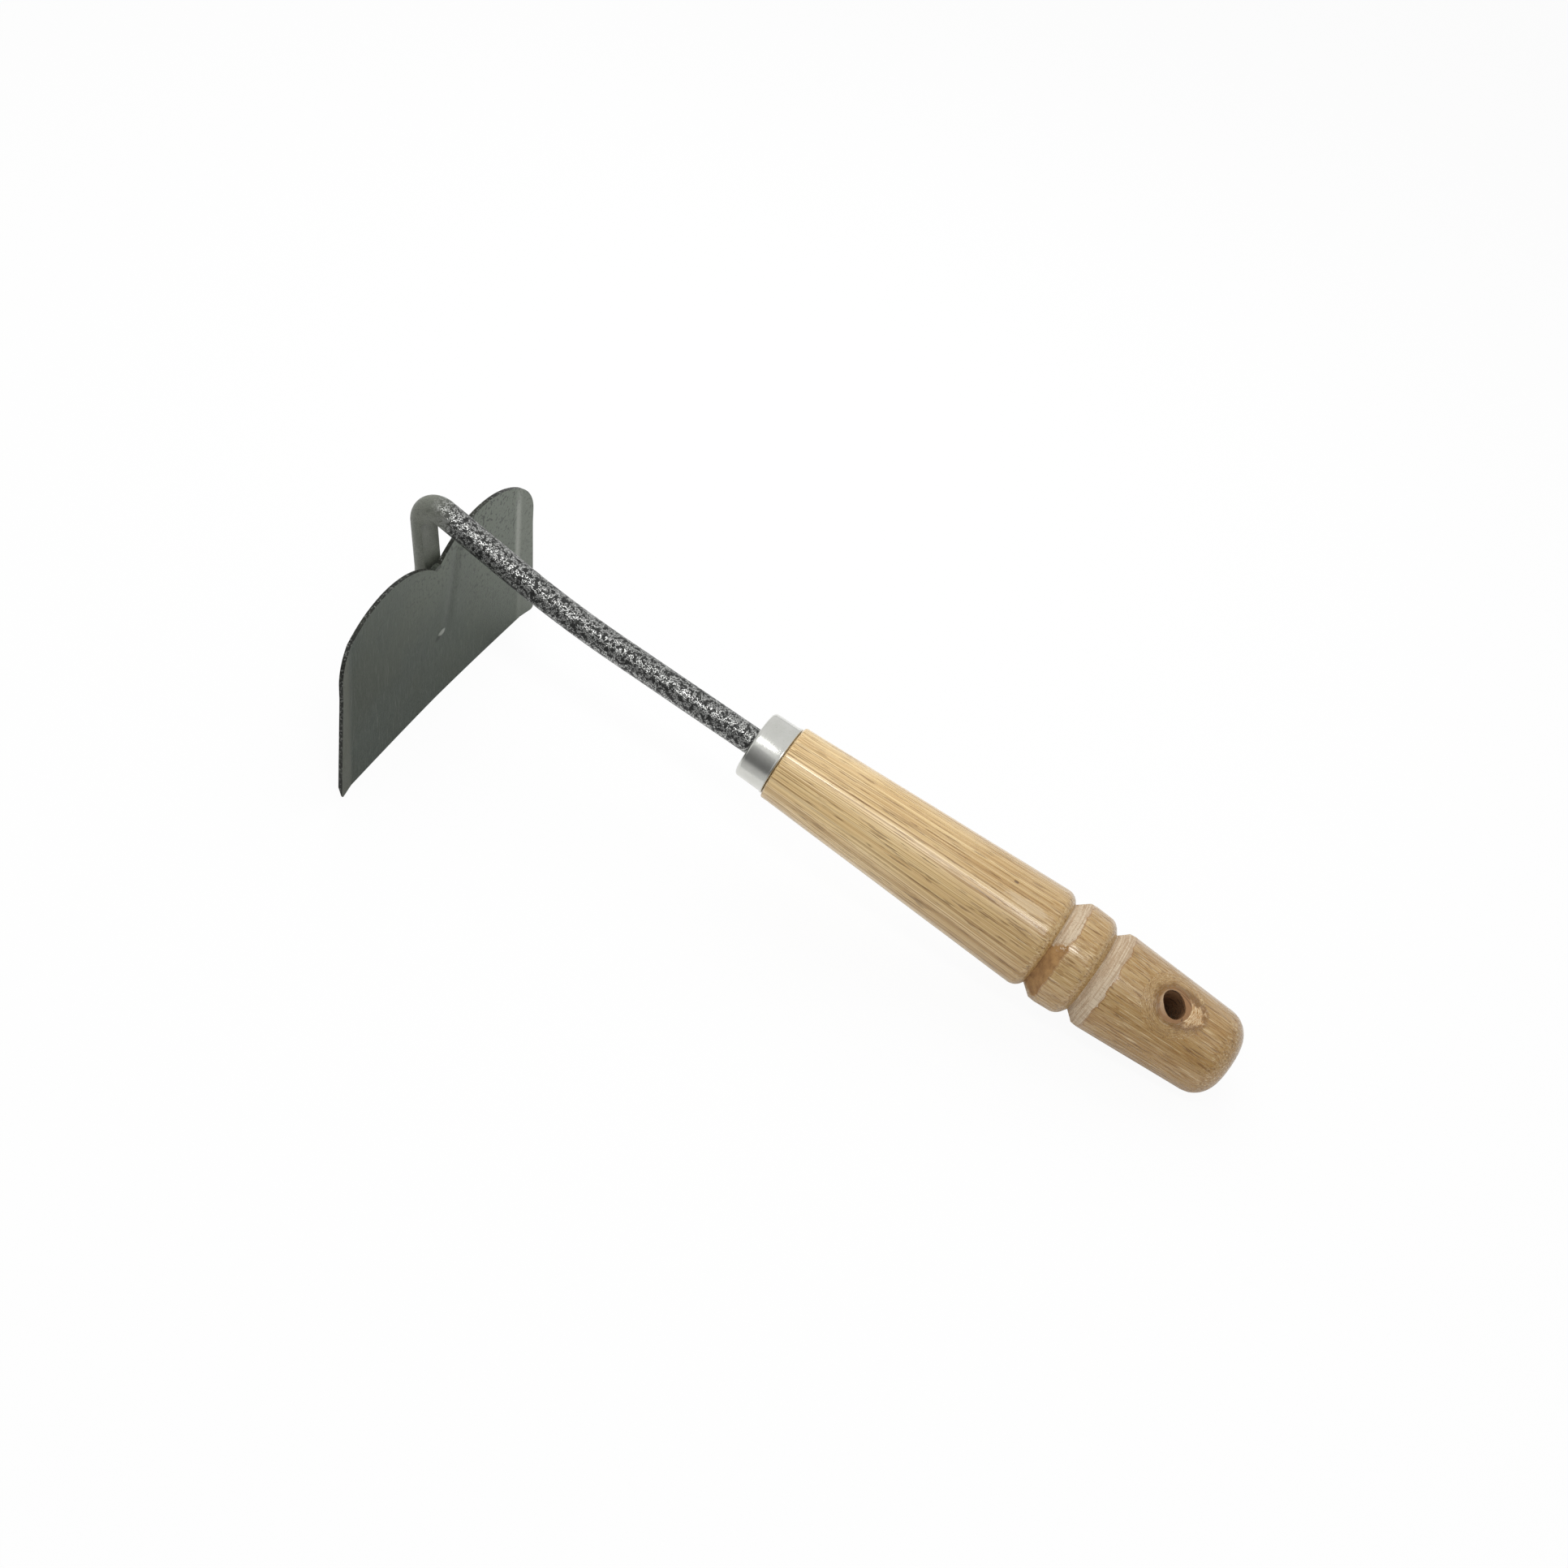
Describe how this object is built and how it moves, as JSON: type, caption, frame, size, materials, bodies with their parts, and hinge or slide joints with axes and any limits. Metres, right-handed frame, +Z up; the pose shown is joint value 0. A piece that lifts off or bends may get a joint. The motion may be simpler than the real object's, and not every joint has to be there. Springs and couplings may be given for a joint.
{
  "type": "garden hoe",
  "caption": "Short-handled garden hoe: dished two-lobed steel blade on a gooseneck rod, bright ferrule and turned wooden grip with a hanging hole.",
  "frame": {"origin": "bottom centre of the whole hoe's box, as it stands on its cutting edge and the low side of its butt", "axes": "+Z up, +X from the blade towards the butt along the length, Y across the blade"},
  "size_m": [0.3074, 0.1184, 0.0829],
  "materials": {
    "blade_paint": "satin grey-green hammered paint",
    "hammered_paint": "silver and black hammered paint",
    "bright_steel": "bright plated",
    "varnished_wood": "glossy clear varnish"
  },
  "bodies": {
    "root": {"blade": "blade_paint", "neck_rod": "hammered_paint", "weld_left": "blade_paint", "weld_right": "blade_paint", "weld_end": "blade_paint", "weld_notch": "blade_paint", "ferrule": "bright_steel", "handle": "varnished_wood"}
  },
  "joints": []
}
